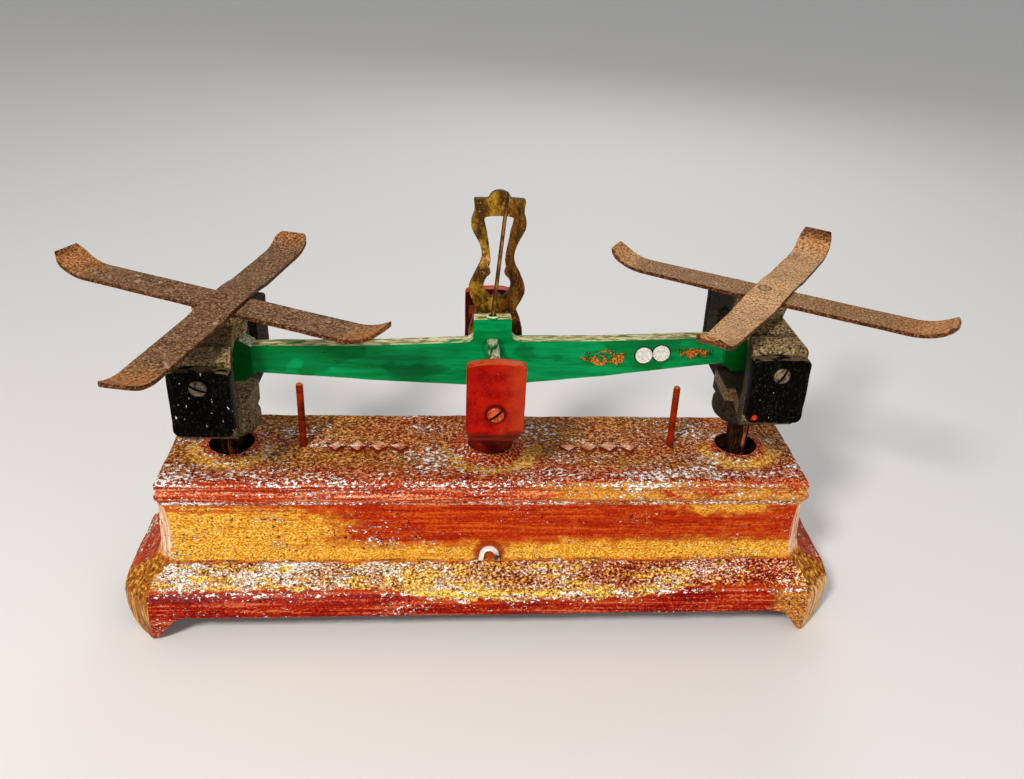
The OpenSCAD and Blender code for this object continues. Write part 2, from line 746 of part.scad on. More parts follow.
module stay_bar() {
    color("slategray") on_stay() difference() {
        along_y(-stay_t / 2, stay_t / 2) union() {
            square([2 * arm, stay_h], center = true);
            for (x = [-arm, 0, arm]) translate([x, 0]) circle(r = eye_r);
        }
        pin_y(pin_r + run, -stay_t, stay_t);
        for (x = [-arm, arm]) translate([x, 0, 0]) pin_y(pin_r + loose, -stay_t, stay_t);
    }
}

base_casting();
central_pillar();
pillar_washer();
pillar_nut();
front_pillar_bearing();
rear_pillar_bearing();
front_pillar_cover();
rear_pillar_cover();
pillar_cover_screws();
pointer_frame();
pointer_frame_screws();
left_stop_pin();
right_stop_pin();
stay_pivot_pin();
beam_casting();
centre_knife();
left_knife();
right_knife();
pointer();
pointer_collar();
seal_plugs();
left_yoke();
left_stem();
left_stem_cross_pin();
left_front_bearing();
left_rear_bearing();
left_front_cover();
left_rear_cover();
left_cover_screws();
left_lower_bar();
left_upper_bar();
left_cross_rivet();
left_link_pin();
right_yoke();
right_stem();
right_stem_cross_pin();
right_front_bearing();
right_rear_bearing();
right_front_cover();
right_rear_cover();
right_cover_screws();
right_lower_bar();
right_upper_bar();
right_cross_rivet();
right_link_pin();
stay_bar();
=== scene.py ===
"""Looks of the counter balance: worn paint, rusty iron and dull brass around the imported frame.

Everything is in metres in the frame's own axes: +X right, +Y to the rear, +Z up.
The materials think in millimetres: Paint.at gives the place on the object in millimetres.
In them lengths and heights are millimetres, and shares of a colour go from 0 to 1.
"""
import json
import math

import bmesh
import bpy
from mathutils import Matrix, Vector, noise

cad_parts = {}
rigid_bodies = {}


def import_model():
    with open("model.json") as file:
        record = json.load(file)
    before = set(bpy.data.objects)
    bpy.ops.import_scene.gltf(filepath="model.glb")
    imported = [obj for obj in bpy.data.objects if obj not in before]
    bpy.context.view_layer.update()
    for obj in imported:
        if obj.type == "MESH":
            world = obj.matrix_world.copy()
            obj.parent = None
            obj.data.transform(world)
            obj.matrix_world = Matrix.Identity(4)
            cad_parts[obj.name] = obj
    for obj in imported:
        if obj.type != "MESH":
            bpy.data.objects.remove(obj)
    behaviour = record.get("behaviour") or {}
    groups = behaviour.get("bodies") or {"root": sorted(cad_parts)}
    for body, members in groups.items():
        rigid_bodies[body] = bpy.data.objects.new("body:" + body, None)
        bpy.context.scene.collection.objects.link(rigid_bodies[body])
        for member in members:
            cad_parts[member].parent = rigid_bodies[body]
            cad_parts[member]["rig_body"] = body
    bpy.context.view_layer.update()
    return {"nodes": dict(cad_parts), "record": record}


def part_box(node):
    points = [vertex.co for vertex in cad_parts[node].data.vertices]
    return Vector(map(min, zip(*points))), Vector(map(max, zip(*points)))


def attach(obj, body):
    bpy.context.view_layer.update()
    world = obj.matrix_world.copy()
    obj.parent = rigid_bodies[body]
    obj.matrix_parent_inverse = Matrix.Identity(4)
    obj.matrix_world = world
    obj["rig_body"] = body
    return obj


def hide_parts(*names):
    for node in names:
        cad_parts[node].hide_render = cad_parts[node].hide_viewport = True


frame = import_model()
MM = 0.001

# Places on the object at rest and sizes, in millimetres
CARRIER_X = 147
COVER_Y = -50.7          # the front faces of the cover plates
SCREW_Y = -52            # the front faces of the cover screws
COVER_SCREWS = ((-146.9, 166.9, 25), (0, 152.8, 140), (146.9, 177.1, 120))  # X, Z, slot's turn
CROSS_RIVETS = ((-144.7, 0, 194.5), (148.4, 0, 204.7))
SEAL_R = 4.75            # the lead discs in the beam
FINE_BEVEL = 0.25        # on the nodes that are not replaced

# Angles between faces, in degrees
FLAT_BELOW = 0.6
ROUNDED_FROM = 26
FINE_BEVEL_FROM = 35
SMOOTH_BELOW = 38

SAME_PLACE = 1e-6        # in metres: vertices as close as this are one
SEED_STEP = 3.1          # between the unevenness of one node and the next


def rgb(red, green, blue):
    """A colour as a screen shows it, 0 to 255, as the linear colour that a shader takes."""
    def linear(v):
        v /= 255
        return v / 12.92 if v <= 0.04045 else ((v + 0.055) / 1.055) ** 2.4
    return (linear(red), linear(green), linear(blue), 1.0)


# ---- procedural materials ----

class Value:
    """A number or colour that a node puts out. The arithmetic signs make Math nodes."""

    def __init__(self, paint, socket):
        self.paint, self.socket = paint, socket

    def __add__(self, other):
        return self.paint.math("ADD", self, other)

    def __sub__(self, other):
        return self.paint.math("SUBTRACT", self, other)

    def __rsub__(self, other):
        return self.paint.math("SUBTRACT", other, self)

    def __mul__(self, other):
        return self.paint.math("MULTIPLY", self, other)

    __radd__ = __add__
    __rmul__ = __mul__


class Paint:
    """A node material with its surface shader. Its methods add nodes; most return a Value."""

    def __init__(self, name):
        self.material = bpy.data.materials.new(name)
        self.material.use_nodes = True
        self.tree = self.material.node_tree
        self.shader = self.tree.nodes["Principled BSDF"]
        coordinates = self.tree.nodes.new("ShaderNodeTexCoord")
        scale = self.tree.nodes.new("ShaderNodeVectorMath")
        scale.operation = "SCALE"
        self.tree.links.new(coordinates.outputs["Object"], scale.inputs[0])
        scale.inputs["Scale"].default_value = 1 / MM
        self.at = Value(self, scale.outputs[0])
        parts = self.node("SeparateXYZ", inputs={0: self.at})
        self.x, self.y, self.z = (Value(self, s) for s in parts.outputs)
        self.normal = None

    def node(self, kind, inputs=None, **settings):
        made = self.tree.nodes.new("ShaderNode" + kind)
        for key, value in settings.items():
            setattr(made, key, value)
        for key, value in (inputs or {}).items():
            if isinstance(value, Value):
                self.tree.links.new(value.socket, made.inputs[key])
            else:
                made.inputs[key].default_value = value
        return made

    def math(self, operation, a, b=0.0):
        return Value(self, self.node("Math", {0: a, 1: b}, operation=operation).outputs[0])

    def most(self, a, b):
        return self.math("MAXIMUM", a, b)

    def least(self, a, b):
        return self.math("MINIMUM", a, b)

    def ramp(self, value, low, high):
        """0 at low, 1 at high, smooth between; low may be the larger."""
        made = self.node("MapRange", {0: value, 1: low, 2: high}, interpolation_type="SMOOTHSTEP")
        return Value(self, made.outputs[0])

    def within(self, value, low, high, soft):
        """1 between low and high, 0 outside, with soft edges."""
        return (self.ramp(value, low - soft, low + soft)
                * self.ramp(value, high + soft, high - soft))

    def place(self, size, stretch=(1, 1, 1), shift=0.0):
        """The place in units of size millimetres, stretched along the axes."""
        made = self.node("Mapping", {
            "Vector": self.at, "Scale": [1 / (size * s) for s in stretch],
            "Location": (shift, shift * 1.7 + 0.3, shift * 0.6 + 0.7)})
        return Value(self, made.outputs[0])

    def noise(self, size, stretch=(1, 1, 1), shift=0.0, detail=3.0, rough=0.55, warp=0.0):
        """Noise in lumps of size millimetres; stretch makes them longer along an axis."""
        made = self.node("TexNoise", {
            "Vector": self.place(size, stretch, shift), "Scale": 1.0, "Detail": detail,
            "Roughness": rough, "Distortion": warp})
        return Value(self, made.outputs["Fac"])

    def cells(self, size, shift):
        """Distance to the nearest of many scattered points, in units of size millimetres."""
        made = self.node("TexVoronoi", {"Vector": self.place(size, shift=shift), "Scale": 1.0})
        return Value(self, made.outputs["Distance"])

    def faces(self):
        """The face's direction as three numbers; the last is 1 on a level top."""
        if self.normal is None:
            geometry = self.node("NewGeometry")
            made = self.node("SeparateXYZ", {0: Value(self, geometry.outputs["Normal"])})
            self.normal = [Value(self, s) for s in made.outputs]
        return self.normal

    def up(self):
        return self.faces()[2]

    def size_of(self, value):
        return self.math("ABSOLUTE", value)

    def away(self, *spot):
        """Distance in millimetres from a spot."""
        made = self.node("VectorMath", {0: self.at, 1: spot}, operation="DISTANCE")
        return Value(self, made.outputs["Value"])

    def mix(self, share, a, b):
        """Colour a where share is 0, colour b where it is 1."""
        made = self.node("Mix", data_type="RGBA")
        for key, value in ((0, share), (6, a), (7, b)):
            if isinstance(value, Value):
                self.tree.links.new(value.socket, made.inputs[key])
            else:
                made.inputs[key].default_value = value
        return Value(self, made.outputs[2])

    def three(self, value, low, middle, high):
        """Three colours, as a noise value goes from small to large."""
        color = self.mix(self.ramp(value, 0.40, 0.47), low, middle)
        return self.mix(self.ramp(value, 0.54, 0.61), color, high)

    def finish(self, color, rough, height, metal=0.0, specular=0.15):
        """Plugs the surface together; height is in millimetres."""
        for key, value in (("Base Color", color), ("Roughness", rough), ("Metallic", metal)):
            if isinstance(value, Value):
                self.tree.links.new(value.socket, self.shader.inputs[key])
            else:
                self.shader.inputs[key].default_value = value
        self.shader.inputs["Specular IOR Level"].default_value = specular
        bump = self.node("Bump", {"Height": height, "Distance": MM, "Strength": 1.0})
        self.tree.links.new(bump.outputs[0], self.shader.inputs["Normal"])
        return self.material


def base_paint():
    """Thick old paint in red-orange and gold, chipped to a pale primer and to dark iron."""
    p = Paint("base_paint")
    nx, ny, up = p.faces()
    nx, ny = p.size_of(nx), p.size_of(ny)
    level = p.ramp(up, 0.5, 0.8) * p.ramp(p.z, 95, 98)
    streak = p.noise(1.5, (26, 9, 1), 1.0, detail=4, rough=0.65)
    cloud = p.noise(38, (1.6, 1, 1), 2.0, detail=2)
    grain = p.noise(1.1, (1.4, 1.2, 1), 3.0, detail=2, rough=0.6)
    fine = p.noise(0.75, (1.4, 1.3, 1), 19.0, detail=2)
    lump = p.noise(5, (1.5, 1.2, 1), 13.0, detail=4, rough=0.6)
    cluster = p.noise(15, (2.6, 1, 1), 12.0, detail=3, rough=0.6)
    brushed = grain * 0.6 + streak * 0.9 - 0.25
    z = p.z + (lump - 0.5) * 14 + (cloud - 0.5) * 8
    x = p.x + (cloud - 0.5) * 50 + (lump - 0.5) * 60

    # the walls: red, with gold at the left, along the foot and in patches
    red = p.three(brushed, rgb(144, 22, 0), rgb(174, 44, 2), rgb(200, 82, 16))
    red = p.mix(p.ramp(lump, 0.5, 0.7) * p.ramp(p.x, 0, 70) * 0.5, red, rgb(196, 96, 22))
    gold = p.three(fine, rgb(188, 104, 10), rgb(228, 162, 44), rgb(252, 204, 96))
    gold = p.mix(p.ramp(streak, 0.46, 0.34) * 0.5, gold, rgb(184, 84, 10))
    wall = p.ramp(p.z, 45, 47)
    low_gold = p.ramp(z, 62, 53) * wall
    left_gold = p.ramp(x, -72, -104) * p.ramp(z + (streak - 0.5) * 40, 85, 76) * wall
    right_gold = p.within(x, 112, 158, 10) * p.within(z, 78, 86, 3) * 0.9
    edge_gold = p.within(x, 30, 178, 14) * p.ramp(p.z, 86, 90) * p.ramp(cluster, 0.38, 0.5) * 0.8
    ends = p.ramp(nx, 0.6, 0.8) * p.ramp(p.noise(26, (1, 1, 1.6), 9.0), 0.42, 0.6)
    share = p.most(p.most(low_gold, left_gold), p.most(right_gold, edge_gold))
    share = p.most(share, ends * 0.85)
    color = p.mix(share, red, gold)

    # the moulding above them is pink with dark lines, the cove below them is mottled
    arris = p.within(p.z, 84, 99.5, 1.0) * (1 - level)
    pink = p.three(brushed, rgb(140, 24, 0), rgb(184, 66, 26), rgb(234, 164, 118))
    ochre = p.ramp(x, 40, 95) * p.ramp(cluster, 0.34, 0.46)
    dull_gold = p.three(grain, rgb(120, 60, 12), rgb(196, 128, 48), rgb(242, 206, 132))
    pink = p.mix(ochre * 0.85, pink, dull_gold)
    color = p.mix(arris * (1 - edge_gold) * 0.9, color, pink)
    lines = p.within(p.z, 96.6, 97.2, 0.3) + p.within(p.z, 86.4, 87.0, 0.3)
    lines = lines + p.within(p.z, 46.0, 46.6, 0.2)
    dip = p.within(p.x, -45, 105, 25) * 4.5
    uneven = p.z + (lump - 0.5) * 6
    cove = p.ramp(uneven + dip, 31.8, 33.2) * p.ramp(uneven, 45.7, 44.3) * p.ramp(nx, 0.5, 0.3)
    side = p.ramp(p.x, -50, 100)
    yellow = p.within(p.x, -70, 30, 30) * 0.05 + p.ramp(p.z, 37, 32) * 0.06
    yellow = p.ramp(p.noise(4, (3, 1, 1), 14.0, detail=4) + yellow, 0.52, 0.6)
    dirt = p.mix(side, rgb(92, 38, 10), rgb(88, 14, 0))
    ground = p.mix(side, rgb(196, 144, 90), rgb(172, 84, 40))
    ground = p.mix(yellow * 0.7, ground, rgb(212, 146, 36))
    fleck = p.mix(side, rgb(255, 244, 228), rgb(238, 204, 168))
    fleck = p.mix(yellow * 0.85, fleck, rgb(255, 216, 84))
    mottle = grain + (cluster - 0.5) * 0.35 - side * 0.02 + 0.015
    ground = p.mix(p.ramp(p.x, 110, 160) * 0.8, ground, rgb(170, 44, 10))
    color = p.mix(cove, color, p.three(mottle, dirt, ground, fleck))
    lower = p.ramp(p.z + dip + (lump - 0.5) * 3, 31.5, 30)
    crimson = p.three(brushed, rgb(112, 4, 0), rgb(158, 30, 2), rgb(200, 96, 56))
    tan_foot = p.ramp(p.x, 164, 176) * 0.8
    foot_gold = p.three(grain, rgb(128, 66, 12), rgb(192, 120, 36), rgb(230, 170, 90))
    crimson = p.mix(tan_foot, crimson, foot_gold)
    color = p.mix(lower, color, crimson)

    # the top is dusty: brown and tan over red, golden around the holes and the pillar
    dust = p.noise(9, (1.8, 1, 1), 5.0, detail=5, rough=0.65)
    tan = p.three(grain, rgb(72, 16, 0), rgb(150, 68, 14), rgb(228, 160, 100))
    brown = p.three(grain, rgb(76, 36, 0), rgb(152, 88, 20), rgb(226, 164, 92))
    tan = p.mix(p.ramp(p.noise(30, (1.6, 1, 1), 6.0, detail=3), 0.42, 0.58) * 0.9, tan, brown)
    rosy = p.ramp(p.y + (dust - 0.5) * 30, -16, -30) * 0.7
    tan = p.mix(rosy, tan, p.three(grain, rgb(110, 10, 0), rgb(168, 44, 12), rgb(226, 142, 104)))
    for spot, edge in ((-CARRIER_X, 12.5), (0, 17), (CARRIER_X, 12.5)):
        away = p.away(spot, 0, 101) + (dust - 0.5) * 14
        reddish = p.three(grain, rgb(104, 14, 0), rgb(166, 46, 8), rgb(226, 140, 84))
        tan = p.mix(p.ramp(away, edge + 9, edge + 3) * 0.85, tan, reddish)
        golden = p.within(away, edge + 5, edge + 12, 2) * p.ramp(p.y, 8, -8)
        gilt = p.three(grain, rgb(150, 70, 8), rgb(214, 150, 48), rgb(246, 214, 120))
        tan = p.mix(golden * 0.8, tan, gilt)

    # the lozenges on the top are pale with a dark outline
    right = p.math("GREATER_THAN", p.x, 0)
    across = p.math("PINGPONG", p.x - right * 2 - 8, 6) + p.size_of(p.y + 2)
    cast = p.within(p.size_of(p.x) + right * 6, 46.5, 93.5, 0.4) * level
    raised = p.ramp(p.z, 102.2, 102.6) * cast
    tan = p.mix(p.ramp(across, 7.4, 6.0) * cast * 0.85, tan, rgb(112, 26, 4))
    worn_bare = lump * 0.6 + grain * 0.4
    pale = p.three(worn_bare, rgb(150, 40, 10), rgb(214, 146, 104), rgb(252, 240, 222))
    tan = p.mix(raised, tan, pale)
    color = p.mix(level, color, tan)
    slopes = p.ramp(p.z, 99.9, 100.4) * p.ramp(p.size_of(p.y + 2), 9, 8) * (1 - level)
    color = p.mix(slopes, color, rgb(120, 30, 4))
    color = p.mix(lines * p.ramp(lump, 0.6, 0.4) * 0.7, color, rgb(64, 16, 2))

    # the corners: scraped to the primer above the crease, golden with upright streaks below it
    diagonal = p.size_of(nx - ny) - (nx + ny) * 0.45
    corner = p.ramp(diagonal, 0.06, -0.04) * p.ramp(nx + ny, 0.2, 0.35) * (1 - level)
    upright = p.noise(1.8, (1, 1, 9), 21.0, detail=4)
    foot = p.three(upright, rgb(110, 48, 6), rgb(158, 92, 20), rgb(214, 156, 76))
    pale_foot = p.ramp(p.x, 0, 5) * p.ramp(p.z, 31, 28)
    wood_pale = p.three(upright, rgb(166, 104, 44), rgb(210, 154, 84), rgb(236, 198, 142))
    foot = p.mix(pale_foot, foot, wood_pale)
    scraped = p.three(upright, rgb(200, 118, 80), rgb(234, 184, 146), rgb(250, 226, 200))
    color = p.mix(corner * p.ramp(p.z, 47, 44), color, foot)
    color = p.mix(corner * p.within(p.z, 48, 83, 3) * p.ramp(upright, 0.3, 0.36), color, scraped)

    # chips: the most along the edges, on the cove and on the top, few on the walls
    chip = p.noise(1.35, (1.7, 1.4, 1), 11.0, detail=5, rough=0.65, warp=0.3)
    edges = p.within(p.z, 97.6, 101.8, 0.6) * p.ramp(p.y, -22, -29) + p.within(p.z, 84.5, 87.0, 0.6)
    edges = edges + p.within(p.z, 29.4, 31.2, 0.4)
    amount = (cluster - 0.5) * 0.45 + edges * (0.085 - level * 0.05) + level * 0.02 - cast * 0.03
    amount = amount + cove * (p.ramp(p.x, -40, -90) * 0.055 + 0.01) - lower * 0.02 - corner * 0.14
    amount = amount - wall * (1 - arris) * (1 - level) * 0.035 + ochre * arris * 0.03
    chip = chip + amount
    chips = p.ramp(chip, 0.615, 0.635)
    rim = p.within(chip, 0.58, 0.615, 0.012)
    primer = p.mix(yellow * cove, rgb(250, 244, 236), rgb(252, 214, 92))
    primer = p.mix(p.ramp(fine, 0.54, 0.68) * 0.5, primer, rgb(186, 146, 116))
    pits = p.noise(1.7, (1.3, 1, 1.2), 4.0, detail=3, warp=0.5)
    pits = pits + left_gold * 0.02 + (cluster - 0.5) * 0.2
    pits = p.ramp(pits, 0.65, 0.67) * (1 - level * 0.6)
    color = p.mix(rim * 0.75, color, rgb(60, 14, 2))
    color = p.mix(pits * 0.9, color, rgb(44, 14, 2))
    color = p.mix(chips, color, primer)

    # the little arch on the front is bare, with red inside
    proud = p.ramp(p.y, -35, -35.4)
    arch = p.within(p.x, -6.6, 6.6, 0.2) * p.within(p.z, 46.6, 58, 0.3) * proud
    bare = p.three(lump, rgb(84, 50, 36), rgb(226, 214, 204), rgb(250, 246, 240))
    color = p.mix(arch, color, bare)
    around = p.ramp(p.away(0, -34.5, 51), 11, 7) * (1 - proud) * wall
    color = p.mix(around * 0.85, color, rgb(150, 24, 6))

    # inside: bare rusty iron; in the stem holes: painted shade, nearly black
    drop = p.most(43 - p.z, 0.0)
    hollow = p.ramp(p.size_of(p.y) - p.least(drop * 0.75 + 31, 44.5), 0.4, -0.4)
    hollow = hollow * p.ramp(p.size_of(p.x) - p.least(drop * 1.3 + 180.5, 200), 0.4, -0.4)
    bevel = p.size_of(p.x) + p.size_of(p.y) - p.least(p.most(50 - p.z, 0.0) + 203, 229)
    hollow = hollow * p.ramp(bevel, 0.4, -0.4) * p.ramp(p.z, 94, 93.6)
    hole = p.ramp(p.away(-CARRIER_X, 0, 98), 15, 14) + p.ramp(p.away(CARRIER_X, 0, 98), 15, 14)
    hole = hole * p.ramp(p.size_of(up), 0.6, 0.3)
    rust = p.mix(p.ramp(lump, 0.36, 0.62), rgb(30, 16, 10), rgb(96, 58, 34))
    color = p.mix(p.most(hollow, hole), color, p.mix(hole * 0.75, rust, rgb(12, 7, 3)))

    height = (grain - 0.5) * 0.12 + (streak - 0.5) * 0.08 - chips * 0.16 - pits * 0.2
    height = height + (lump - 0.5) * 0.5
    rough = chips * 0.3 + level * 0.25 + cove * 0.1 + grain * 0.25 + 0.28
    return p.finish(color, rough, height, specular=0.06)


def green_paint():
    """Brushed-on green, darker in patches, worn pale along the top, rusty where it has chipped."""
    p = Paint("green_paint")
    streak = p.noise(3.0, (9, 3, 1), 1.0, detail=4)
    patch = p.noise(26, (1.5, 1, 1), 2.0, detail=3, rough=0.5)
    fine = p.noise(0.9, shift=3.0, detail=3)
    color = p.mix(p.ramp(streak, 0.3, 0.7), rgb(0, 112, 48), rgb(2, 146, 78))
    color = p.mix(p.ramp(patch, 0.54, 0.58) * 0.6, color, rgb(0, 90, 32))
    scar = p.ramp(p.noise(2.2, (5, 1, 1), 8.0, detail=5, rough=0.7), 0.64, 0.68)
    color = p.mix(scar * 0.8, color, rgb(0, 56, 20))
    # painted shade: the beam's ends are darker green, for the shadow of the cross bars above them
    ends = p.ramp(p.size_of(p.x), 129, 131)
    color = p.mix(ends * 0.9, color, p.mix(fine, rgb(0, 42, 6), rgb(0, 82, 16)))
    up = p.up()
    edge = p.ramp(up, 0.3, 0.6) * p.ramp(up, 0.98, 0.9)
    worn = p.ramp(up, 0.4, 0.75) * p.ramp(p.noise(5, (3, 1, 1), 4.0, detail=4), 0.32, 0.46)
    worn = worn * (1 - ends * 0.8)
    dull = p.ramp(p.noise(1.6, (4, 1, 1), 6.0, detail=4), 0.4, 0.6)
    pale = p.mix(dull, rgb(122, 112, 50), rgb(214, 206, 160))
    color = p.mix(worn, color, pale)
    color = p.mix(edge * p.ramp(fine, 0.44, 0.56) * 0.8, color, rgb(228, 220, 186))
    bare = p.noise(5.2, (0.9, 1, 1.1), 5.2, detail=4, rough=0.6, warp=0.6)
    zone = p.within(p.x, 50, 74, 3) * p.within(p.z, 158, 167, 2)
    zone = p.most(zone, p.within(p.x, 104, 125, 4) * p.within(p.z, 163, 168, 2) * 0.85)
    bare = bare + zone * 0.17
    rust = p.ramp(bare, 0.635, 0.66) * p.ramp(zone, 0.1, 0.4)
    brim = p.within(bare, 0.6, 0.64, 0.01) * p.ramp(zone, 0.1, 0.4)
    color = p.mix(brim * 0.8, color, rgb(8, 34, 12))
    color = p.mix(rust, color, p.mix(p.ramp(fine, 0.4, 0.6), rgb(104, 46, 8), rgb(204, 124, 46)))
    low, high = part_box("seal_plugs")
    for spot in ((low.x / MM + SEAL_R, low.z / MM + SEAL_R),
                 (high.x / MM - SEAL_R, high.z / MM - SEAL_R)):
        joint = p.ramp(p.away(spot[0], low.y / MM + 0.4, spot[1]), 5.7, 5.3)
        color = p.mix(joint * 0.95, color, rgb(4, 14, 6))
    # painted shade: a dark disc in the recess round the needle's foot
    needle_foot = (-0.8, -1.2, 185.2)
    recess_shade = p.ramp(p.away(*needle_foot), 2.3, 2.0)
    color = p.mix(recess_shade, color, rgb(16, 12, 6))
    # painted shade: a darker ring on the beam's face round the end of the middle knife
    knife_end = (0, -3.9, 167.5)
    around = p.within(p.away(*knife_end), 5.0, 6.6, 0.5) * p.ramp(p.y, -3.5, -3.8)
    color = p.mix(around * 0.35, color, rgb(0, 60, 26))
    height = (streak - 0.5) * 0.12 + (fine - 0.5) * 0.03 - rust * 0.2 + (patch - 0.5) * 0.5
    return p.finish(color, rust * 0.4 + worn * 0.25 + fine * 0.2 + 0.22, height, specular=0.05)


def worn_gloss(name, dark, light, bare, low, high):
    """Gloss paint over metal: wear on the top edge, small chips, painted shade along the bottom and
    on the inner faces; low and high are its heights.
    """
    p = Paint(name)
    cloud = p.noise(10, shift=1.0, detail=4)
    fine = p.noise(0.8, shift=2.0, detail=3)
    color = p.mix(p.ramp(cloud * 0.6 + fine * 0.4, 0.34, 0.62), dark, light)
    orange = p.ramp(p.x + (cloud - 0.5) * 20, 0, 16) * p.ramp(p.x, 60, 40)
    color = p.mix(orange * 0.35, color, bare)
    worn = p.ramp(p.up(), 0.35, 0.7) * p.ramp(p.z, high - 8, high - 4)
    top = p.mix(p.ramp(p.noise(2.4, (2.4, 1, 1), 4.0, detail=4), 0.3, 0.56), light, bare)
    color = p.mix(worn * 0.9, color, top)
    chip = p.ramp(p.noise(1.3, shift=5.0, detail=4, rough=0.6), 0.65, 0.67)
    color = p.mix(chip * 0.7, color, bare)
    # painted shade: darker towards the bottom
    low_shade = p.ramp(p.z + (cloud - 0.5) * 6, low + 4, low)
    color = p.mix(low_shade * 0.6, color, rgb(52, 10, 2))
    # painted shade: the inner faces of the pillar covers are nearly black
    inner_shade = p.within(p.size_of(p.y), 43.7, 44.3, 0.1)
    color = p.mix(inner_shade * 0.9, color, rgb(26, 10, 6))
    screw_x, screw_z, _ = COVER_SCREWS[1]
    ring = p.ramp(p.away(screw_x, COVER_Y, screw_z), 6.6, 5.4) * p.ramp(p.y, -50.0, -50.5)
    color = p.mix(ring * 0.75, color, rgb(70, 6, 0))
    height = (cloud - 0.5) * 0.35 + (fine - 0.5) * 0.03 - chip * 0.1
    return p.finish(color, fine * 0.2 + chip * 0.3 + 0.24, height, specular=0.05)


def black_paint():
    """Black paint with fine grey scratches, short bright nicks and a red spot low on the right."""
    p = Paint("black_paint")
    fine = p.noise(0.8, shift=2.0, detail=3)
    color = p.mix(fine, rgb(1, 1, 1), rgb(9, 8, 5))
    web = p.ramp(p.noise(3.0, (0.35, 1, 1.9), 3.0, detail=6, rough=0.75, warp=1.2), 0.58, 0.66)
    color = p.mix(web * 0.3, color, rgb(84, 78, 62))
    spots = p.ramp(p.noise(1.4, shift=13.0, detail=3), 0.6, 0.66)
    color = p.mix(spots * 0.22, color, rgb(84, 78, 64))
    nick = p.noise(1.9, (0.9, 1, 1.9), 7.0, detail=2, rough=0.5, warp=0.3)
    nick = p.ramp(nick + p.within(p.z, 142, 158, 4) * 0.03 - p.ramp(p.x, 0, 1) * 0.03, 0.715, 0.74)
    color = p.mix(nick * 0.9, color, rgb(226, 216, 200))
    top = p.ramp(p.up(), 0.3, 0.6) * p.ramp(p.noise(3, (2, 1, 1), 5.0), 0.42, 0.56)
    color = p.mix(top * 0.6, color, rgb(120, 98, 68))
    red_spot = (136.5, COVER_Y, 151.5)
    red = p.ramp(p.away(*red_spot) + (fine - 0.5) * 3, 1.9, 1.3)
    color = p.mix(red, color, rgb(206, 50, 16))
    height = (p.noise(6, shift=9.0, detail=4) - 0.5) * 0.3 - web * 0.05 - nick * 0.12
    return p.finish(color, fine * 0.25 + web * 0.25 + 0.34, height, specular=0.015)


def carrier_iron():
    """Coarse cast iron: khaki in front with the remains of paint; painted shade makes it nearly
    black at the rear, underneath and on its inner faces.
    """
    p = Paint("carrier_iron")
    grain = p.noise(1.3, shift=1.0, detail=5, rough=0.7)
    pores = p.ramp(p.noise(1.5, shift=2.0, detail=4, rough=0.65), 0.47, 0.4)
    cloud = p.noise(14, shift=3.0, detail=3)
    color = p.three(grain, rgb(84, 60, 28), rgb(146, 120, 80), rgb(206, 182, 142))
    color = p.mix(p.ramp(cloud, 0.45, 0.65) * 0.5, color, rgb(116, 92, 40))
    color = p.mix(pores * 0.9, color, rgb(18, 10, 2))
    remains = p.ramp(p.noise(6, shift=6.0, detail=4), 0.64, 0.68)
    color = p.mix(remains * 0.6, color, rgb(140, 50, 14))
    up = p.up()
    # painted shade: on faces turned down, at the rear, in the gap behind the front legs, on inner
    # faces, low on the left carrier and on the right carrier's middle apart from a strip
    shade = p.most(p.ramp(up, 0.3, -0.3) * p.ramp(p.z, 158, 142) * 0.7, p.ramp(p.y, 8, 16) * 0.93)
    shade = p.most(shade, p.within(p.y, -31.2, -28, 1.0) * 0.6)
    inward = p.ramp(p.faces()[0] * p.math("SIGN", p.x), -0.4, -0.8)
    shade = p.most(shade, inward * p.ramp(p.size_of(p.y), 25, 29) * 0.85)
    right = p.ramp(p.x, 0, 1)
    middle = p.ramp(p.size_of(p.y), 30, 27)
    below = p.ramp(p.z + (cloud - 0.5) * 6, 132, 129) * (1 - right) * 0.4
    strip = p.within(p.z + (cloud - 0.5) * 2, 140.5, 148, 0.6)
    dark = right * (1 - strip) * p.ramp(p.z, 180, 178) * 0.93
    shade = p.most(shade, p.most(below, dark) * middle)
    color = p.mix(shade, color, p.mix(pores, rgb(20, 15, 7), rgb(4, 3, 1)))
    height = (grain - 0.5) * 0.4 - pores * 0.3
    return p.finish(color, grain * 0.2 + 0.6, height)


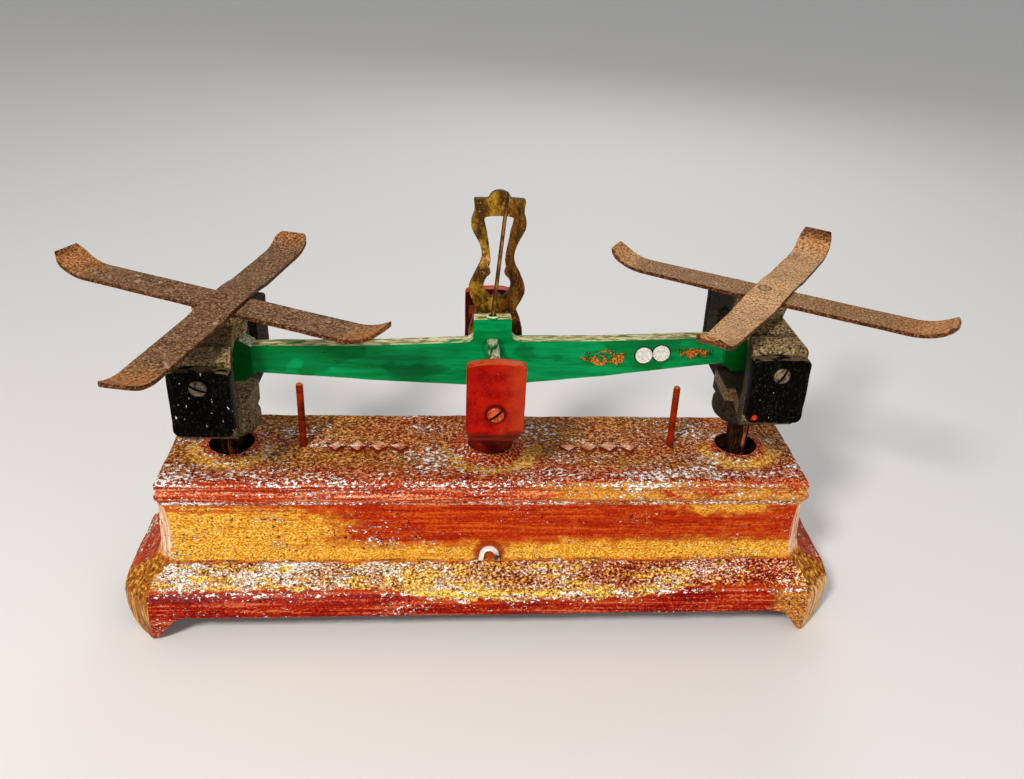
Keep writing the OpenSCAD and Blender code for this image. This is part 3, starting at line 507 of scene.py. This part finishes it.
def bar_iron():
    """Flat iron under an even skin of rust, orange and spotted at the tips, dark at the edges."""
    p = Paint("bar_iron")
    grain = p.noise(1.2, shift=1.0, detail=3, rough=0.65)
    cloud = p.noise(13, shift=2.0, detail=4, rough=0.6)
    light = p.ramp(p.x, 0, 1) * p.ramp(p.z, 202, 204)
    color = p.three(grain, rgb(54, 30, 10), rgb(108, 76, 46), rgb(168, 132, 98))
    tawny = p.ramp(p.x, 0, 1) * (1 - light)
    brown = p.three(grain, rgb(78, 46, 12), rgb(138, 94, 42), rgb(186, 142, 98))
    sandy = p.three(grain, rgb(112, 70, 32), rgb(196, 150, 100), rgb(230, 186, 140))
    color = p.mix(light, p.mix(tawny * 0.7, color, brown), sandy)
    color = p.mix(p.ramp(cloud, 0.5, 0.68) * 0.5, color, rgb(128, 90, 60))
    worn = p.ramp(p.noise(4, (1.6, 1.6, 1), 7.0, detail=5, rough=0.7), 0.58, 0.66)
    color = p.mix(worn * 0.45, color, rgb(210, 176, 146))
    left_tip = p.ramp(p.away(-CARRIER_X, 0, 192), 72, 98)
    tip = p.least(left_tip, p.ramp(p.away(CARRIER_X, 0, 202), 66, 92))
    tip_color = p.mix(p.ramp(grain, 0.4, 0.6), rgb(132, 72, 26), rgb(206, 140, 78))
    spots = p.ramp(p.noise(1.6, shift=15.0, detail=4), 0.56, 0.64)
    tip_color = p.mix(spots * 0.8, tip_color, rgb(56, 28, 8))
    color = p.mix(tip * 0.8, color, tip_color)
    side = p.ramp(p.size_of(p.up()), 0.8, 0.5)
    umber = p.three(grain, rgb(30, 12, 2), rgb(66, 32, 10), rgb(140, 78, 30))
    color = p.mix(side * 0.9, color, umber)
    # painted shade on faces turned down
    color = p.mix(p.ramp(p.up(), -0.4, -0.7) * 0.6, color, rgb(50, 28, 14))
    for spot in CROSS_RIVETS:
        away = p.away(*spot)
        color = p.mix(p.ramp(away, 3.2, 2.8) * 0.4, color, rgb(116, 76, 40))
        color = p.mix(p.within(away, 3.1, 4.0, 0.25) * 0.75, color, rgb(58, 30, 12))
    pits = p.ramp(p.cells(2.2, 4.0), 0.16, 0.07)
    color = p.mix(pits * 0.7, color, rgb(70, 40, 20))
    height = (grain - 0.5) * 0.16 - pits * 0.12 + (cloud - 0.5) * 0.5
    return p.finish(color, grain * 0.25 + 0.42, height, specular=0.09)


def rusty_iron():
    """Nearly black iron with upright streaks of rust."""
    p = Paint("rusty_iron")
    grain = p.noise(1.6, (1, 1, 2.5), 1.0, detail=5, rough=0.65)
    band = p.noise(3.0, (1, 1, 8), 4.0, detail=3)
    color = p.mix(p.ramp(grain, 0.4, 0.66), rgb(8, 4, 1), rgb(58, 28, 10))
    color = p.mix(p.ramp(band, 0.58, 0.66) * 0.7, color, rgb(180, 104, 38))
    return p.finish(color, grain * 0.2 + 0.55, (grain - 0.5) * 0.3, specular=0.06)


def frame_brass():
    """Dull brass with old gilding: brighter on the left leg, browner on the right."""
    p = Paint("frame_brass")
    grain = p.noise(1.2, (1, 1, 1.4), 1.0, detail=5, rough=0.7)
    cloud = p.noise(5.0, (1, 1, 1.6), 2.0, detail=4, rough=0.6)
    relief = p.noise(3.4, (0.9, 1, 2.2), 5.0, detail=3, warp=0.8)
    color = p.mix(p.ramp(cloud, 0.4, 0.66), rgb(70, 40, 2), rgb(164, 122, 28))
    brown = p.mix(p.ramp(relief, 0.42, 0.62), rgb(46, 19, 0), rgb(112, 64, 10))
    color = p.mix(p.ramp(p.x, -1, 7) * 0.85 * p.ramp(p.z, 247, 240), color, brown)
    color = p.mix(p.ramp(relief, 0.42, 0.36) * 0.75, color, rgb(88, 50, 6))
    color = p.mix(p.ramp(grain, 0.44, 0.36) * 0.85, color, rgb(36, 16, 0))
    color = p.mix(p.ramp(grain, 0.6, 0.68) * 0.6, color, rgb(234, 196, 100))
    rosy = p.ramp(p.noise(2.4, shift=8.0, detail=3), 0.56, 0.62) * p.within(p.z, 205, 222, 5)
    color = p.mix(rosy * 0.8 * p.ramp(p.x, 2, -2), color, rgb(214, 156, 118))
    side = p.ramp(p.size_of(p.faces()[1]), 0.8, 0.5)
    color = p.mix(side * 0.6, color, rgb(52, 28, 4))
    height = (grain - 0.5) * 0.2 + (relief - 0.5) * 0.6
    return p.finish(color, grain * 0.25 + 0.36, height, metal=0.15, specular=0.12)


def plain_steel():
    """Dull steel of the pieces that are hidden inside."""
    p = Paint("plain_steel")
    grain = p.noise(0.9, shift=1.0, detail=4)
    cloud = p.noise(4.0, shift=2.0, detail=3)
    cloudy = p.ramp(grain * 0.5 + cloud * 0.5, 0.38, 0.62)
    color = p.mix(cloudy, rgb(70, 62, 54), rgb(130, 122, 112))
    return p.finish(color, grain * 0.25 + 0.4, (grain - 0.5) * 0.08, metal=0.8)


def knife_steel():
    """Ground steel under a thin film of old green and cream paint."""
    p = Paint("hard_steel")
    film = p.noise(2.6, (1, 3, 1), 3.0, detail=4, rough=0.6)
    fine = p.noise(0.9, shift=1.0, detail=3)
    color = p.mix(p.ramp(film, 0.4, 0.56), rgb(20, 84, 46), rgb(206, 204, 164))
    color = p.mix(p.ramp(fine, 0.56, 0.66) * 0.6, color, rgb(84, 92, 58))
    # painted shade on the side faces
    color = p.mix(p.ramp(p.size_of(p.up()), 0.5, 0.2) * 0.55, color, rgb(30, 60, 34))
    return p.finish(color, fine * 0.2 + 0.34, (film - 0.5) * 0.2, metal=0.3)


def needle_wire():
    """Brown wire with a painted highlight along its middle, made by painted shade on its flanks,
    dark at the tip.
    """
    p = Paint("needle")
    grain = p.noise(1.4, (1, 1, 3), 1.0, detail=3)
    color = p.mix(p.ramp(grain, 0.4, 0.6), rgb(86, 50, 12), rgb(140, 98, 40))
    # painted shade on the flanks, which leaves a painted highlight along the middle
    shaded_flank = p.ramp(p.size_of(p.faces()[0] - 0.1), 0.35, 0.75)
    color = p.mix(shaded_flank * 0.8, color, rgb(30, 14, 4))
    color = p.mix(p.ramp(p.z, 243, 251) * 0.85, color, rgb(42, 24, 16))
    return p.finish(color, grain * 0.25 + 0.35, (grain - 0.5) * 0.08, metal=0.1, specular=0.1)


def screw_steel(name, dark, light, slot_shade):
    """A worn screw head with painted shade in its slot and on its rounded sides; the last argument
    is the colour of that painted shade.
    """
    p = Paint(name)
    grain = p.noise(0.9, shift=1.0, detail=4)
    cloud = p.noise(3.0, shift=2.0, detail=3)
    color = p.mix(p.ramp(grain * 0.5 + cloud * 0.5, 0.4, 0.6), dark, light)
    for x, z, degrees in COVER_SCREWS:
        turn = math.radians(degrees)
        across = (p.x - x) * math.sin(turn) + (p.z - z) * math.cos(turn)
        near = p.ramp(p.away(x, SCREW_Y, z), 7, 6)
        color = p.mix(near * p.ramp(p.size_of(across), 0.75, 0.55), color, slot_shade)
    # painted shade on the sides of the head
    color = p.mix(p.ramp(p.size_of(p.faces()[1]), 0.75, 0.45) * 0.8, color, slot_shade)
    return p.finish(color, grain * 0.25 + 0.4, (grain - 0.5) * 0.1, metal=0.3)


def lead():
    """Chalky white discs with fine scratches."""
    p = Paint("lead")
    web = p.noise(1.2, shift=3.0, detail=6, rough=0.75, warp=1.0)
    color = p.mix(p.ramp(web, 0.4, 0.6), rgb(186, 180, 168), rgb(240, 236, 226))
    return p.finish(color, 0.6, (web - 0.5) * 0.15)


MATERIALS = {
    "base_paint": base_paint(),
    "green_paint": green_paint(),
    "black_paint": black_paint(),
    "red_paint": worn_gloss(
        "red_paint", rgb(120, 0, 0), rgb(166, 17, 0), rgb(190, 80, 36), low=140, high=182),
    "pillar_paint": worn_gloss(
        "pillar_paint", rgb(64, 6, 2), rgb(120, 20, 6), rgb(120, 60, 34), low=104, high=172),
    "pin_paint": worn_gloss(
        "pin_paint", rgb(72, 6, 0), rgb(150, 40, 4), rgb(186, 100, 40), low=100, high=142),
    "painted_screw": screw_steel("painted_screw", rgb(150, 30, 6), rgb(206, 96, 50), rgb(24, 4, 0)),
    "carrier_iron": carrier_iron(),
    "bar_iron": bar_iron(),
    "rusty_iron": rusty_iron(),
    "frame_brass": frame_brass(),
    "needle": needle_wire(),
    "worn_screw": screw_steel("worn_screw", rgb(52, 42, 32), rgb(134, 112, 88), rgb(8, 6, 4)),
    "plain_steel": plain_steel(),
    "hard_steel": knife_steel(),
    "lead": lead(),
}
SLOT_OF = {s["node"]: s["material_slot"] for s in frame["record"]["subparts"]}


# ---- the frame's nodes, with their edges softened and their faces made uneven ----

def refine(node, edge, cell, uneven, size, seed):
    """Replaces a CAD node with a copy whose edges are rounded (edge, mm). Its faces are cut into
    small ones (cell, mm) and moved by up to uneven (mm), in lumps of the given size."""
    source = frame["nodes"][node]
    mesh = source.data.copy()
    mesh.materials.clear()
    mesh.materials.append(MATERIALS[SLOT_OF[node]])
    bm = bmesh.new()
    bm.from_mesh(mesh)
    bmesh.ops.remove_doubles(bm, verts=bm.verts, dist=SAME_PLACE)
    bmesh.ops.dissolve_limit(bm, angle_limit=math.radians(FLAT_BELOW), verts=bm.verts,
                             edges=bm.edges)
    sharp = [e for e in bm.edges if len(e.link_faces) == 2
             and e.calc_face_angle(0) > math.radians(ROUNDED_FROM)]
    bmesh.ops.bevel(bm, geom=sharp, offset=edge * MM, offset_type="OFFSET", segments=3,
                    profile=0.5, affect="EDGES", clamp_overlap=True)
    bmesh.ops.triangulate(bm, faces=[f for f in bm.faces if len(f.verts) > 4])
    low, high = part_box(node)
    for axis in range(3):
        normal = Vector((axis == 0, axis == 1, axis == 2))
        count = int((high[axis] - low[axis]) / (cell * MM))
        for i in range(1, count + 1):
            spot = normal * (low[axis] + (high[axis] - low[axis]) * i / (count + 1))
            bmesh.ops.bisect_plane(bm, geom=bm.verts[:] + bm.edges[:] + bm.faces[:],
                                   plane_co=spot, plane_no=normal, dist=1e-7)
    bm.normal_update()
    shift = Vector((seed, seed * 2.3, seed * 0.7))
    moved = []
    for v in bm.verts:
        n = noise.fractal(v.co / (size * MM) + shift, 0.8, 2.1, 3)
        moved.append((v, v.normal * (n - 0.35) * uneven * MM))
    for v, offset in moved:
        v.co += offset
    bm.to_mesh(mesh)
    bm.free()
    for face in mesh.polygons:
        face.use_smooth = True
    mesh.set_sharp_from_angle(angle=math.radians(SMOOTH_BELOW))
    piece = bpy.data.objects.new(node + "_worn", mesh)
    bpy.context.scene.collection.objects.link(piece)
    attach(piece, source["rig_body"])
    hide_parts(node)


# For each replaced node: edge, cell, uneven and size of refine(), in millimetres
ROUGH = {
    "base_casting": (0.7, 5.0, 0.45, 16.0),
    "central_pillar": (0.8, 4.0, 0.3, 9.0),
    "beam_casting": (0.5, 5.0, 0.25, 18.0),
    "left_yoke": (1.4, 4.0, 0.25, 13.0),
    "right_yoke": (1.4, 4.0, 0.25, 13.0),
    "left_lower_bar": (0.5, 4.0, 0.25, 24.0),
    "left_upper_bar": (0.5, 4.0, 0.25, 24.0),
    "right_lower_bar": (0.5, 4.0, 0.25, 24.0),
    "right_upper_bar": (0.5, 4.0, 0.25, 24.0),
    "pointer_frame": (0.6, 3.0, 0.25, 7.0),
    "front_pillar_cover": (1.1, 5.0, 0.3, 12.0),
    "rear_pillar_cover": (1.1, 5.0, 0.3, 12.0),
    "left_front_cover": (0.9, 5.0, 0.3, 12.0),
    "left_rear_cover": (0.9, 5.0, 0.3, 12.0),
    "right_front_cover": (0.9, 5.0, 0.3, 12.0),
    "right_rear_cover": (0.9, 5.0, 0.3, 12.0),
    "left_stem": (0.5, 4.0, 0.3, 7.0),
    "right_stem": (0.5, 4.0, 0.3, 7.0),
}
for i, (name, (edge, cell, uneven, size)) in enumerate(ROUGH.items()):
    refine(name, edge, cell, uneven, size, seed=i * SEED_STEP)

for name, node in frame["nodes"].items():
    if name not in ROUGH:
        node.data.materials.clear()
        node.data.materials.append(MATERIALS[SLOT_OF[name]])
        node.modifiers.new("weld", "WELD").merge_threshold = SAME_PLACE
        bevel = node.modifiers.new("soft_edges", "BEVEL")
        bevel.width = FINE_BEVEL * MM
        bevel.segments = 2
        bevel.limit_method = "ANGLE"
        bevel.angle_limit = math.radians(FINE_BEVEL_FROM)


# ---- camera, floor and light ----

def aim(pitch, yaw, roll):
    """Camera axes from angles in degrees: pitch down, yaw to the right, roll."""
    t, w, r = (math.radians(v) for v in (pitch, yaw, roll))
    forward = Vector((math.sin(w) * math.cos(t), math.cos(w) * math.cos(t), -math.sin(t)))
    right = Vector((math.cos(w), -math.sin(w), 0))
    down = forward.cross(right)
    turned_right = right * math.cos(r) + down * math.sin(r)
    turned_down = down * math.cos(r) - right * math.sin(r)
    return Matrix((turned_right, -turned_down, -forward)).transposed()


camera = bpy.data.objects.new("camera", bpy.data.cameras.new("camera"))
bpy.context.scene.collection.objects.link(camera)
camera.data.sensor_width = 36
camera.data.lens = 33.05
camera.data.shift_x = -0.0264
camera.data.shift_y = -0.0326
camera.data.clip_start = 0.01
camera_place = Matrix.Translation((-0.0222, -0.4664, 0.3997))
camera.matrix_world = camera_place @ aim(pitch=27.0, yaw=5.89, roll=-3.36).to_4x4()
bpy.context.scene.camera = camera

floor_mesh = bpy.data.meshes.new("floor")
reach = 40
corners = [(-reach, -reach, 0), (reach, -reach, 0), (reach, reach, 0), (-reach, reach, 0)]
floor_mesh.from_pydata(corners, [], [(0, 1, 2, 3)])
floor = bpy.data.objects.new("floor", floor_mesh)
bpy.context.scene.collection.objects.link(floor)
pale = bpy.data.materials.new("floor")
pale.use_nodes = True
pale_shader = pale.node_tree.nodes["Principled BSDF"]
pale_shader.inputs["Base Color"].default_value = rgb(234, 232, 228)
pale_shader.inputs["Roughness"].default_value = 0.8
floor_mesh.materials.append(pale)


def area_light(name, place, target, size, watts, tint=(1, 1, 1)):
    """A round lamp at a place, facing a target."""
    light = bpy.data.objects.new(name, bpy.data.lights.new(name, "AREA"))
    bpy.context.scene.collection.objects.link(light)
    light.data.shape = "DISK"
    light.data.size = size
    light.data.energy = watts
    light.data.color = tint
    light.location = place
    light.rotation_euler = (Vector(target) - Vector(place)).to_track_quat("-Z", "Y").to_euler()


area_light("key", (-0.55, -1.0, 1.15), (0, 0, 0.12), size=0.25, watts=18, tint=(1.0, 0.97, 0.93))
area_light("fill", (0.9, -1.1, 0.5), (0, 0, 0.12), size=1.0, watts=4)
area_light("back", (0.3, 1.2, 1.0), (0, 0, 0.15), size=0.8, watts=4)
world = bpy.data.worlds.new("studio")
world.use_nodes = True
world.node_tree.nodes["Background"].inputs["Color"].default_value = (0.96, 0.97, 1.0, 1)
world.node_tree.nodes["Background"].inputs["Strength"].default_value = 0.38
bpy.context.scene.world = world
bpy.context.scene.view_settings.view_transform = "Standard"
